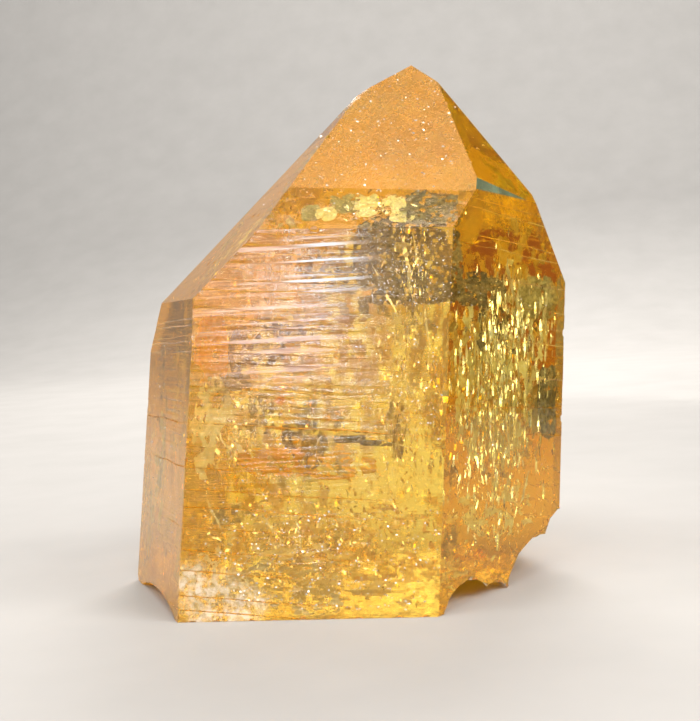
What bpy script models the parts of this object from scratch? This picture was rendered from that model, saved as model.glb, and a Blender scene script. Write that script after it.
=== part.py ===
"""Aura quartz crystal: one golden point that stands on its flat cut foot.

Lengths are in metres and +Z is up. The crystal is built along its own long axis
with the front prism face towards -Y, and is then leaned and cut flat.
"""
import math
import random

import bmesh
import bpy
from mathutils import Matrix, Vector

MM = 0.001
SEED = 41

# How the crystal stands on its cut
LEAN_RIGHT_DEG = 5.3
LEAN_BACK_DEG = 4.7
CUT_BELOW_CENTRE = 16.35 * MM
SHIFT_X = -3.09 * MM
SHIFT_Y = -0.05 * MM

# Turn of each side about the long axis, the same for prism and tip faces
SIDES = ("front", "front_right", "back_right", "back", "back_left", "front_left")
SIDE_TURN_DEG = {side: 60.0 * index for index, side in enumerate(SIDES)}

# Prism faces: distance from the long axis, narrowing upwards and small turn
PRISM_DISTANCE = {
    "front": 17.3 * MM,
    "front_right": 22.3 * MM,
    "back_right": 25.4 * MM,
    "back": 17.6 * MM,
    "back_left": 18.8 * MM,
    "front_left": 17.6 * MM,
}
PRISM_NARROWING_DEG = {
    "front": 0.9,
    "front_right": 0.8,
    "back_right": 0.7,
    "back": 0.7,
    "back_left": 0.7,
    "front_left": 0.3,
}
PRISM_EXTRA_TURN_DEG = {
    "front": 0.8,
    "front_right": -0.5,
    "back_right": 0.0,
    "back": 0.4,
    "back_left": 0.0,
    "front_left": -0.5,
}

# Tip faces: quartz slopes them 51.8 degrees from the long axis
TIP_SLOPE_DEG = 51.8
TIP_DISTANCE = {
    "front": 26.5 * MM,
    "front_right": 33.75 * MM,
    "back_right": 32.0 * MM,
    "back": 29.2 * MM,
    "back_left": 20.05 * MM,
    "front_left": 22.5 * MM,
}
TIP_EXTRA_SLOPE_DEG = {
    "front": 0.3,
    "front_right": 1.0,
    "back_right": 0.4,
    "back": 0.0,
    "back_left": -0.1,
    "front_left": 0.6,
}
TIP_EXTRA_TURN_DEG = {
    "front": -0.9,
    "front_right": 0.7,
    "back_right": -0.1,
    "back": 0.5,
    "back_left": 0.2,
    "front_left": 0.3,
}

# Narrow extra facets: turn, slope and distance
SLIVER_FACET = (58.6, 66.8, 30.58 * MM)
SHOULDER_FACET = (90.0, 65.5, 32.6 * MM)
BACK_SHOULDER_FACET = (210.0, 65.5, 29.0 * MM)
CREST_FACET = (330.0, 45.0, 28.04 * MM)
EXTRA_FACETS = (SLIVER_FACET, SHOULDER_FACET, BACK_SHOULDER_FACET, CREST_FACET)

# Growth ledges that run level round the prism
LEDGE_BOTTOM = -21.0 * MM
LEDGE_TOP = 27.0 * MM
LEDGE_FINE_ABOVE = 0.5 * MM
LEDGE_FINE_SPACING = (0.6 * MM, 1.25 * MM)
LEDGE_WIDE_SPACING = (1.2 * MM, 2.7 * MM)
LEDGE_RISER = 0.1 * MM
LEDGE_DEPTH_MIN = 0.04 * MM
LEDGE_DEPTH_MAX = 0.12 * MM
LEDGE_DEPTH_LIMIT = 0.16 * MM
LEDGE_CHANCE = {
    "front": 0.9,
    "front_right": 0.3,
    "back_right": 0.6,
    "back": 0.85,
    "back_left": 0.6,
    "front_left": 0.5,
}
LEDGE_COLUMNS = 5
LEDGE_WANDER = 0.14 * MM
LEDGE_VARIATION = (0.6, 1.3)
LEDGE_LOW_FADE = 0.3

# How strong the ledges are from the left end of each side to its right end
LEDGE_ACROSS = {
    "front": (1.1, 1.2, 1.1, 0.8, 0.35, 0.1),
    "front_right": (0.1, 0.15, 0.15, 0.25, 0.3, 0.3),
    "back_right": (0.3, 0.7, 0.9, 0.9, 0.8, 0.8),
    "back": (0.8, 1.1, 1.1, 1.0, 0.8, 0.6),
    "back_left": (0.6, 0.8, 0.8, 0.5, 0.3, 0.2),
    "front_left": (0.2, 0.3, 0.4, 0.5, 0.6, 0.6),
}
BLANK_TOP = 50.0 * MM
BLANK_BOTTOM = -24.0 * MM

# Growth pits on the tip faces, hollow three-sided pyramids: number on each side
PIT_COUNT = {
    "front": 30,
    "front_right": 7,
    "back_right": 12,
    "back": 12,
    "back_left": 10,
    "front_left": 8,
}
PIT_RADIUS_MIN = 0.22 * MM
PIT_RADIUS_MAX = 0.6 * MM
PIT_CORNERS = 3
PIT_DEPTH_SHARE = 0.14
PIT_RISE_SHARE = 0.5
PIT_EDGE_GAP = 1.0 * MM
PIT_EDGE_SHARE = 0.6
PIT_NEIGHBOUR_GAP = 0.25 * MM
PIT_ACROSS_RANGE = (-30.0 * MM, 30.0 * MM)
PIT_UPWARD_RANGE = (-10.0 * MM, 50.0 * MM)
PIT_TRIES = 6000

# Shell-shaped breaks at the foot, in millimetres and degrees: middle X and Y,
# turn, height of the bite, half length along the turn and half reach across it
FOOT_BREAKS = {
    "right_front": (13.9, -12.0, 0.0, 2.5, 2.4, 11.0),
    "right_tooth": (16.3, -7.0, 0.0, 1.25, 1.6, 12.0),
    "right_middle": (21.2, 0.5, 4.0, 4.4, 4.3, 20.0),
    "right_back": (23.5, 3.5, 10.0, 6.5, 3.4, 13.0),
    "back_right": (15.9, 18.0, -25.0, 3.2, 5.5, 5.0),
    "back": (-5.1, 17.3, 178.0, 1.9, 7.0, 3.2),
    "left_long": (-20.0, -10.4, -60.4, 1.3, 9.0, 1.9),
    "left_corner": (-25.1, 1.5, 60.0, 0.9, 2.6, 1.4),
}
SCALLOP_TALLNESS = 1.35
SCALLOP_EXTRA = 1.0
RIPPLE_COUNT = 7.0
RIPPLE_SHARE = 0.012
RIPPLE_SHIFT = 0.13
SCALLOP_SEGMENTS = 26
SCALLOP_RINGS = 15

# Crumbs broken from the rim of the cut: number on each side, and sizes
CRUMBS = {
    "front": 9,
    "front_right": 0,
    "back_right": 2,
    "back": 6,
    "back_left": 5,
    "front_left": 5,
}
CRUMB_SIZE_MIN = 0.45 * MM
CRUMB_SIZE_MAX = 0.95 * MM
CRUMB_SINK_SHARE = 0.55
CRUMB_OUT_SHARE = 0.45

# Small nicks on the sharp edges: size range and how deep they sit
NICK_SIZE_MIN = 0.35 * MM
NICK_SIZE_MAX = 0.8 * MM
NICK_DEPTH_SHARE = 0.55
NICKS_ON_EDGE = 2
NICKS_START_ABOVE_CUT = 9.0 * MM
SPREAD_WANDER = (0.3, 0.7)

# Golden quartz that light passes through
QUARTZ_COLOUR = (0.86, 0.55, 0.16, 1.0)
QUARTZ_ROUGHNESS = 0.06
QUARTZ_IOR = 1.544

# Lengths that only help the cutting
WELD = 0.00001 * MM
SAME_PLACE = 0.0001 * MM


def clear_scene():
    for old in list(bpy.data.objects):
        bpy.data.objects.remove(old, do_unlink=True)


def face_plane(turn_deg, slope_deg, distance):
    """Plane whose outward normal leans slope_deg from the long axis."""
    turn = math.radians(turn_deg)
    slope = math.radians(slope_deg)
    flat = math.sin(slope)
    normal = Vector((math.sin(turn) * flat, -math.cos(turn) * flat, math.cos(slope)))
    return normal, distance


def prism_plane(side):
    turn = SIDE_TURN_DEG[side] + PRISM_EXTRA_TURN_DEG[side]
    return face_plane(turn, 90.0 - PRISM_NARROWING_DEG[side], PRISM_DISTANCE[side])


def tip_plane(side):
    turn = SIDE_TURN_DEG[side] + TIP_EXTRA_TURN_DEG[side]
    slope = TIP_SLOPE_DEG + TIP_EXTRA_SLOPE_DEG[side]
    return face_plane(turn, slope, TIP_DISTANCE[side])


def planes_meet(first, second, third):
    """Point where three planes cross."""
    rows = Matrix((first[0], second[0], third[0]))
    return rows.inverted() @ Vector((first[1], second[1], third[1]))


def level_plane(height):
    return Vector((0.0, 0.0, 1.0)), height


def standing_matrix():
    """Leans the crystal, centres it and lifts it so that the cut is at height zero."""
    lean_back = Matrix.Rotation(math.radians(-LEAN_BACK_DEG), 4, "X")
    lean_right = Matrix.Rotation(math.radians(LEAN_RIGHT_DEG), 4, "Y")
    place = Matrix.Translation((SHIFT_X, SHIFT_Y, CUT_BELOW_CENTRE))
    return place @ lean_right @ lean_back


def stand(plane, matrix):
    """The same plane after the crystal has been leaned."""
    normal = matrix.to_3x3() @ plane[0]
    return normal, plane[1] + normal.dot(matrix.translation)


def ledge_heights(rng):
    heights = []
    height = LEDGE_BOTTOM
    while height < LEDGE_TOP:
        heights.append(height)
        spacing = LEDGE_FINE_SPACING if height > LEDGE_FINE_ABOVE else LEDGE_WIDE_SPACING
        height += rng.uniform(*spacing)
    return heights


def ledge_profiles(rng, heights):
    """How far each side stands out above each ledge."""
    profiles = {}
    for side in SIDES:
        stand_out = 0.0
        values = []
        for _ in heights:
            if rng.random() < LEDGE_CHANCE[side]:
                step = rng.uniform(LEDGE_DEPTH_MIN, LEDGE_DEPTH_MAX)
                if stand_out > 0.0:
                    step = -step
                stand_out += step
                stand_out = max(-LEDGE_DEPTH_LIMIT, min(LEDGE_DEPTH_LIMIT, stand_out))
            values.append(stand_out)
        profiles[side] = values
    return profiles


def prism_ring(height, stand_out, fade, wander):
    """One closed ring of points round the prism at a given height."""
    level = level_plane(height)
    lefts = []
    rights = []
    for side in SIDES:
        normal, distance = prism_plane(side)
        lefts.append((normal, distance + stand_out[side] * fade[side][0]))
        rights.append((normal, distance + stand_out[side] * fade[side][-1]))
    corners = [planes_meet(rights[index - 1], lefts[index], level) for index in range(len(SIDES))]
    ring = []
    for index, side in enumerate(SIDES):
        start = corners[index]
        end = corners[(index + 1) % len(SIDES)]
        ring.append(start)
        for column in range(1, LEDGE_COLUMNS):
            share = column / LEDGE_COLUMNS
            straight = fade[side][0] * (1.0 - share) + fade[side][-1] * share
            extra = stand_out[side] * (fade[side][column] - straight)
            point = start.lerp(end, share) + lefts[index][0] * extra
            point.z += wander[side][column]
            ring.append(point)
    return ring


def ledge_fades(rng, height):
    """Strength of one ledge at each column of each side."""
    overall = 1.0 if height > LEDGE_FINE_ABOVE else LEDGE_LOW_FADE
    return {
        side: [overall * across * rng.uniform(*LEDGE_VARIATION) for across in LEDGE_ACROSS[side]]
        for side in SIDES
    }


def ledge_wander(rng):
    """How far each column of a ledge strays from level."""
    return {
        side: [rng.uniform(-LEDGE_WANDER, LEDGE_WANDER) for _ in range(LEDGE_COLUMNS)]
        for side in SIDES
    }


def blank_rings(rng):
    """All rings of the tall prism blank, from its bottom to its top."""
    heights = ledge_heights(rng)
    profiles = ledge_profiles(rng, heights)
    below = {side: 0.0 for side in SIDES}
    below_fade = {side: [0.0] * (LEDGE_COLUMNS + 1) for side in SIDES}
    still = {side: [0.0] * LEDGE_COLUMNS for side in SIDES}
    rings = [prism_ring(BLANK_BOTTOM, below, below_fade, still)]
    for index, height in enumerate(heights):
        above = {side: profiles[side][index] for side in SIDES}
        above_fade = ledge_fades(rng, height)
        wander = ledge_wander(rng)
        rings.append(prism_ring(height, below, below_fade, wander))
        rings.append(prism_ring(height + LEDGE_RISER, above, above_fade, wander))
        below = above
        below_fade = above_fade
    rings.append(prism_ring(BLANK_TOP, below, below_fade, still))
    return rings


def blank_mesh(rng):
    mesh = bmesh.new()
    rings = []
    for ring in blank_rings(rng):
        rings.append([mesh.verts.new(point) for point in ring])
    count = len(rings[0])
    for lower, upper in zip(rings, rings[1:]):
        for index in range(count):
            following = (index + 1) % count
            corners = (lower[index], lower[following], upper[following], upper[index])
            mesh.faces.new(corners)
    mesh.faces.new(list(reversed(rings[0])))
    mesh.faces.new(rings[-1])
    side_faces = [face for face in mesh.faces if len(face.verts) == 4]
    bmesh.ops.triangulate(mesh, faces=side_faces)
    return mesh


def cut_flat(mesh, plane):
    """Takes away what lies outside the plane and closes the cut."""
    normal, distance = plane
    result = bmesh.ops.bisect_plane(
        mesh,
        geom=mesh.verts[:] + mesh.edges[:] + mesh.faces[:],
        dist=WELD,
        plane_co=normal * distance,
        plane_no=normal,
        clear_outer=True,
    )
    rim = [item for item in result["geom_cut"] if isinstance(item, bmesh.types.BMEdge)]
    if rim:
        bmesh.ops.contextual_create(mesh, geom=rim)


def crystal_mesh(rng, matrix):
    mesh = blank_mesh(rng)
    for side in SIDES:
        cut_flat(mesh, tip_plane(side))
    for facet in EXTRA_FACETS:
        cut_flat(mesh, face_plane(*facet))
    bmesh.ops.transform(mesh, matrix=matrix, verts=mesh.verts)
    cut_flat(mesh, (Vector((0.0, 0.0, -1.0)), 0.0))
    bmesh.ops.remove_doubles(mesh, verts=mesh.verts, dist=SAME_PLACE)
    bmesh.ops.triangulate(mesh, faces=mesh.faces)
    bmesh.ops.recalc_face_normals(mesh, faces=mesh.faces)
    return mesh


def new_object(name, mesh, material=None):
    data = bpy.data.meshes.new(name)
    mesh.to_mesh(data)
    mesh.free()
    made = bpy.data.objects.new(name, data)
    bpy.context.scene.collection.objects.link(made)
    if material is not None:
        data.materials.append(material)
    return made


def facing_frame(normal, upward):
    """Turn whose Z is the normal and whose Y is as near as can be to upward."""
    across = upward.cross(normal).normalized()
    along = normal.cross(across).normalized()
    return Matrix((across, along, normal)).transposed()


def near_any(point, planes, gap):
    """True where the point lies closer than the gap to any of the planes."""
    for normal, distance in planes:
        if normal.dot(point) > distance - gap:
            return True
    return False


def add_pit(mesh, centre, frame, radius):
    """Three-sided hollow with its point inward and its mouth above the face."""
    depth = radius * PIT_DEPTH_SHARE
    rise = depth * PIT_RISE_SHARE
    mouth = radius * (1.0 + PIT_RISE_SHARE)
    rim = []
    for corner in range(PIT_CORNERS):
        turn = math.radians(90.0 + 360.0 / PIT_CORNERS * corner)
        local = Vector((math.cos(turn) * mouth, math.sin(turn) * mouth, rise))
        rim.append(mesh.verts.new(centre + frame @ local))
    bottom = mesh.verts.new(centre + frame @ Vector((0.0, 0.0, -depth)))
    mesh.faces.new(rim)
    for corner in range(PIT_CORNERS):
        mesh.faces.new((rim[(corner + 1) % PIT_CORNERS], rim[corner], bottom))


def pit_cutter(rng, matrix):
    mesh = bmesh.new()
    all_planes = {("tip", side): stand(tip_plane(side), matrix) for side in SIDES}
    all_planes.update({("prism", side): stand(prism_plane(side), matrix) for side in SIDES})
    for index, facet in enumerate(EXTRA_FACETS):
        all_planes[("facet", index)] = stand(face_plane(*facet), matrix)
    long_axis = matrix.to_3x3() @ Vector((0.0, 0.0, 1.0))
    for side in SIDES:
        own = all_planes[("tip", side)]
        others = [plane for key, plane in all_planes.items() if key != ("tip", side)]
        frame = facing_frame(own[0], long_axis)
        middle = own[0] * own[1]
        placed = []
        tries = 0
        while len(placed) < PIT_COUNT[side] and tries < PIT_TRIES:
            tries += 1
            radius = rng.uniform(PIT_RADIUS_MIN, PIT_RADIUS_MAX)
            across = rng.uniform(*PIT_ACROSS_RANGE)
            upward = rng.uniform(*PIT_UPWARD_RANGE)
            centre = middle + frame @ Vector((across, upward, 0.0))
            mouth = radius * (1.0 + PIT_RISE_SHARE)
            if near_any(centre, others, PIT_EDGE_GAP + mouth * PIT_EDGE_SHARE):
                continue
            room = PIT_NEIGHBOUR_GAP + mouth
            if any((centre - old).length < room + reach for old, reach in placed):
                continue
            placed.append((centre, mouth))
            add_pit(mesh, centre, frame, radius)
    bmesh.ops.recalc_face_normals(mesh, faces=mesh.faces)
    return new_object("growth_pits_cutter", mesh)


def add_scallop(mesh, centre, frame, sizes, phase):
    """Rippled egg shape whose skin leaves a shell-shaped hollow."""
    rows = []
    for ring in range(SCALLOP_RINGS + 1):
        tall = math.pi * ring / SCALLOP_RINGS
        count = 1 if ring in (0, SCALLOP_RINGS) else SCALLOP_SEGMENTS
        row = []
        for segment in range(count):
            turn = 2.0 * math.pi * segment / SCALLOP_SEGMENTS
            sideways = math.sin(tall) * math.cos(turn)
            swell = 1.0 + RIPPLE_SHARE * math.sin(RIPPLE_COUNT * (sideways + phase) * math.pi)
            local = Vector((
                sizes[0] * sideways * swell,
                sizes[1] * math.sin(tall) * math.sin(turn) * swell,
                sizes[2] * math.cos(tall) * swell,
            ))
            row.append(mesh.verts.new(centre + frame @ local))
        rows.append(row)
    for upper, lower in zip(rows, rows[1:]):
        for segment in range(SCALLOP_SEGMENTS):
            following = (segment + 1) % SCALLOP_SEGMENTS
            if len(upper) == 1:
                mesh.faces.new((upper[0], lower[segment], lower[following]))
            elif len(lower) == 1:
                mesh.faces.new((upper[following], upper[segment], lower[0]))
            else:
                first = (upper[segment], lower[segment], lower[following])
                second = (upper[segment], lower[following], upper[following])
                mesh.faces.new(first)
                mesh.faces.new(second)


def foot_break_cutter(name, phase):
    """One egg-shaped cutter, sunk so that its top stands at the wanted rise."""
    middle_x, middle_y, turn_deg, rise, half_length, reach = FOOT_BREAKS[name]
    half_height = rise * SCALLOP_TALLNESS + SCALLOP_EXTRA
    sink = half_height - rise
    widening = 1.0 / math.sqrt(1.0 - (sink / half_height) ** 2)
    centre = Vector((middle_x, middle_y, -sink)) * MM
    sizes = (half_length * widening * MM, reach * widening * MM, half_height * MM)
    frame = Matrix.Rotation(math.radians(turn_deg), 3, "Z")
    mesh = bmesh.new()
    add_scallop(mesh, centre, frame, sizes, phase)
    bmesh.ops.recalc_face_normals(mesh, faces=mesh.faces)
    return new_object("break_" + name + "_cutter", mesh)


def add_lump(mesh, rng, centre, size):
    """Small faceted lump, turned at random."""
    made = bmesh.ops.create_icosphere(mesh, subdivisions=1, radius=size)
    turn = Matrix.Rotation(rng.uniform(0.0, math.pi), 4, "Z")
    tilt = Matrix.Rotation(rng.uniform(0.0, math.pi), 4, "X")
    place = Matrix.Translation(centre) @ turn @ tilt
    bmesh.ops.transform(mesh, matrix=place, verts=made["verts"])


def spread_shares(rng, count):
    """Evenly spread places along an edge, each moved a little."""
    return [(number + rng.uniform(*SPREAD_WANDER)) / count for number in range(count)]


def foot_crumble_cutter(rng, matrix):
    """Lumps that make the rim of the cut ragged."""
    floor = level_plane(0.0)
    planes = [stand(prism_plane(side), matrix) for side in SIDES]
    mesh = bmesh.new()
    for index, side in enumerate(SIDES):
        start = planes_meet(planes[index - 1], planes[index], floor)
        end = planes_meet(planes[index], planes[(index + 1) % len(SIDES)], floor)
        for share in spread_shares(rng, CRUMBS[side]):
            size = rng.uniform(CRUMB_SIZE_MIN, CRUMB_SIZE_MAX)
            drop = Vector((0.0, 0.0, -size * CRUMB_SINK_SHARE))
            out = planes[index][0] * size * CRUMB_OUT_SHARE
            add_lump(mesh, rng, start.lerp(end, share) + drop + out, size)
    bmesh.ops.recalc_face_normals(mesh, faces=mesh.faces)
    return new_object("foot_crumble_cutter", mesh)


def nick_cutter(rng, matrix):
    """Little faceted lumps that chip the sharp edges."""
    prism = {side: stand(prism_plane(side), matrix) for side in SIDES}
    tip = {side: stand(tip_plane(side), matrix) for side in SIDES}
    low = level_plane(NICKS_START_ABOVE_CUT)
    edges = (
        (prism["front"], prism["front_right"], low, tip["front"]),
        (prism["front_left"], prism["front"], low, tip["front_left"]),
        (prism["front_right"], prism["back_right"], low, tip["back_right"]),
        (prism["back_left"], prism["front_left"], low, tip["back_left"]),
        (prism["back"], prism["back_left"], low, tip["back_left"]),
        (tip["front"], prism["front"], tip["front_left"], prism["front_right"]),
        (tip["front"], tip["front_left"], prism["front"], tip["back_left"]),
        (tip["front"], tip["front_right"], prism["front_right"], tip["back_right"]),
    )
    mesh = bmesh.new()
    for first, second, low_end, high_end in edges:
        start = planes_meet(first, second, low_end)
        end = planes_meet(first, second, high_end)
        out = (first[0] + second[0]).normalized()
        for share in spread_shares(rng, NICKS_ON_EDGE):
            size = rng.uniform(NICK_SIZE_MIN, NICK_SIZE_MAX)
            centre = start.lerp(end, share) + out * size * NICK_DEPTH_SHARE
            add_lump(mesh, rng, centre, size)
    bmesh.ops.recalc_face_normals(mesh, faces=mesh.faces)
    return new_object("edge_nicks_cutter", mesh)


def carve(target, cutter):
    """Leaves an exact difference on the target and hides the cutter."""
    cutter.hide_render = True
    cutter.display_type = "WIRE"
    step = target.modifiers.new(cutter.name, "BOOLEAN")
    step.operation = "DIFFERENCE"
    step.solver = "EXACT"
    step.object = cutter


def quartz_material():
    material = bpy.data.materials.new("golden_aura_quartz")
    material.use_nodes = True
    shader = material.node_tree.nodes["Principled BSDF"]
    shader.inputs["Base Color"].default_value = QUARTZ_COLOUR
    shader.inputs["Roughness"].default_value = QUARTZ_ROUGHNESS
    shader.inputs["IOR"].default_value = QUARTZ_IOR
    shader.inputs["Transmission Weight"].default_value = 1.0
    return material


def main():
    clear_scene()
    rng = random.Random(SEED)
    matrix = standing_matrix()
    crystal = new_object("crystal", crystal_mesh(rng, matrix), quartz_material())
    for index, name in enumerate(FOOT_BREAKS):
        carve(crystal, foot_break_cutter(name, RIPPLE_SHIFT * index))
    carve(crystal, foot_crumble_cutter(rng, matrix))
    carve(crystal, pit_cutter(rng, matrix))
    carve(crystal, nick_cutter(rng, matrix))


main()
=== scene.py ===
"""Aura quartz crystal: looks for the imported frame, in metres and in the frame's own axes."""
import math
import random

import bmesh
import bpy
from mathutils import Euler, Matrix, Vector, noise
from mathutils.bvhtree import BVHTree


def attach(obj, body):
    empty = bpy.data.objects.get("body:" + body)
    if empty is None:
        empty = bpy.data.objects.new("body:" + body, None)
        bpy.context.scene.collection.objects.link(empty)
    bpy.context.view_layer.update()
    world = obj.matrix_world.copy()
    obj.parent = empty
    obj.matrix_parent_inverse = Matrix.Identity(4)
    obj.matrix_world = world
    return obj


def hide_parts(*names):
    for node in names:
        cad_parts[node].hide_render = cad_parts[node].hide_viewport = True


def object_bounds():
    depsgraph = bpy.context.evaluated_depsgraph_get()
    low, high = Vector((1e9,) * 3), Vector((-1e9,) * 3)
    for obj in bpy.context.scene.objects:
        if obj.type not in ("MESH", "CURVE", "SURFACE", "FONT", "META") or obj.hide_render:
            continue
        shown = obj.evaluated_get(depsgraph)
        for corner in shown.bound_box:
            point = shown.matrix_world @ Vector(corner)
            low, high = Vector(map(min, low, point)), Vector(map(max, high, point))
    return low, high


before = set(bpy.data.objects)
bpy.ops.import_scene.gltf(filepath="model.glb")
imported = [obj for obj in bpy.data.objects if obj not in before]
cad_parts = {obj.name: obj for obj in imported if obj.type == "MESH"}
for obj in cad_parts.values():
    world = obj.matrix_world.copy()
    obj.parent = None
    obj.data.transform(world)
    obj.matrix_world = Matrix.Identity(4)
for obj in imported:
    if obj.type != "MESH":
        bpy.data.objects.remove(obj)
CAD_BOX = [list(corner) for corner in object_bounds()]

MM = 0.001
SEED = 23
MIDDLE = Vector((0.0, 0.0, 28.0)) * MM

# Lights: place as azimuth and elevation in degrees and distance, size, power and colour
WARM = (1.0, 0.95, 0.90)
LIGHTS = {
    "key_left": ((-16.0, 14.0, 0.60), (0.14, 0.15), 0.20, (1.0, 0.84, 0.80)),
    "key_spot": ((-8.5, 12.0, 0.60), (0.05, 0.065), 0.32, (0.36, 0.62, 1.0)),
    "overhead": ((4.0, 72.0, 0.55), (0.34, 0.30), 1.2, (1.0, 0.93, 0.86)),
    "front_fill": ((30.0, 34.0, 0.60), (0.30, 0.30), 1.3, WARM),
    "high_left": ((-62.0, 48.0, 0.55), (0.30, 0.30), 1.3, WARM),
    "high_right": ((66.0, 40.0, 0.60), (0.30, 0.30), 2.6, WARM),
    "behind": ((182.0, 40.0, 0.60), (0.35, 0.35), 3.0, WARM),
}

# Dark board beside the crystal
FLAG_AZIMUTH_DEG = 122.0
FLAG_DISTANCE = 0.165
FLAG_WIDTH = 0.21
FLAG_HEIGHT = 0.22

# Camera as fitted to the photograph: place, turn, tilt and the image's focal length
CAMERA_PLACE = Vector((22.1, -130.8, 30.7)) * MM
CAMERA_AZIMUTH_DEG = 9.1
CAMERA_ELEVATION_DEG = 2.62
CAMERA_ROLL_DEG = -3.36
FOCAL_PX = 1162.0
IMAGE_HEIGHT_PX = 721.0
IMAGE_WIDTH_PX = 700.0
SENSOR_MM = 36.0

# The crystal's long axis as the part is stood
LEAN_RIGHT_DEG = 5.3
LEAN_BACK_DEG = 4.7
AXIS_FOOT = Vector((-3.09, -0.05, 16.35)) * MM

# Clear band along the foot of the sugary front tip face
BAND_TOP = 26.2 * MM
BAND_LEFT = -7.0 * MM

# Fine growth lines cut into the prism faces
FINE_SPACING = 0.34 * MM
FINE_FROM = 4.0 * MM
FINE_TO = 45.0 * MM
COLUMN_SPACING = 1.3 * MM
COLUMN_LIMIT = 27.0 * MM
FINE_DEPTH = 0.028 * MM
FINE_BANDS = 400
FINE_REACH = (-0.0135, 0.0262)
FINE_STEEPEST = 0.6
SIDE_STRENGTH = 0.7
RIGHT_STRENGTH = 0.1

# Rough skin of the broken foot
BREAK_MESH_EDGE = 0.42 * MM
BREAK_DEPTH = 0.42 * MM
BREAK_KEEP_BELOW = 0.03 * MM
BREAK_SPLITS = 4
BREAK_COARSE = 420.0
BREAK_RIDGES = 900.0
BREAK_GRAIN = 2600.0


def crystal_axes():
    """Turn from the crystal's own axes to the frame's."""
    lean_back = Matrix.Rotation(math.radians(-LEAN_BACK_DEG), 3, "X")
    lean_right = Matrix.Rotation(math.radians(LEAN_RIGHT_DEG), 3, "Y")
    return lean_right @ lean_back


AXES = crystal_axes()
LONG_AXIS = AXES @ Vector((0.0, 0.0, 1.0))


def camera_directions():
    azimuth = math.radians(CAMERA_AZIMUTH_DEG)
    elevation = math.radians(CAMERA_ELEVATION_DEG)
    roll = math.radians(CAMERA_ROLL_DEG)
    back = Vector((
        math.sin(azimuth) * math.cos(elevation),
        -math.cos(azimuth) * math.cos(elevation),
        math.sin(elevation),
    ))
    level_right = Vector((0.0, 0.0, 1.0)).cross(back).normalized()
    level_up = back.cross(level_right)
    right = level_right * math.cos(roll) + level_up * math.sin(roll)
    up = back.cross(right)
    return right, up, back


RIGHT, UP, BACK = camera_directions()


def photo_ray(across, down):
    """Direction from the camera through a place in the photograph's frame."""
    return (
        -BACK
        + RIGHT * (across - IMAGE_WIDTH_PX / 2) / FOCAL_PX
        - UP * (down - IMAGE_HEIGHT_PX / 2) / FOCAL_PX
    ).normalized()


def link(made):
    bpy.context.scene.collection.objects.link(made)
    return made


def add_camera():
    data = bpy.data.cameras.new("photo_camera")
    data.sensor_width = SENSOR_MM
    data.lens = SENSOR_MM * FOCAL_PX / IMAGE_HEIGHT_PX
    data.clip_start = 0.005
    data.clip_end = 10.0
    camera = link(bpy.data.objects.new("photo_camera", data))
    turn = Matrix((RIGHT, UP, BACK)).transposed().to_4x4()
    camera.matrix_world = Matrix.Translation(CAMERA_PLACE) @ turn
    bpy.context.scene.camera = camera


# How far the rim of a mark wanders, as a share of its radius
MARK_RAGGED = 0.4

# Scale that turns object coordinates into millimetres for the textures
IN_MM = (1000.0, 1000.0, 1000.0)


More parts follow.
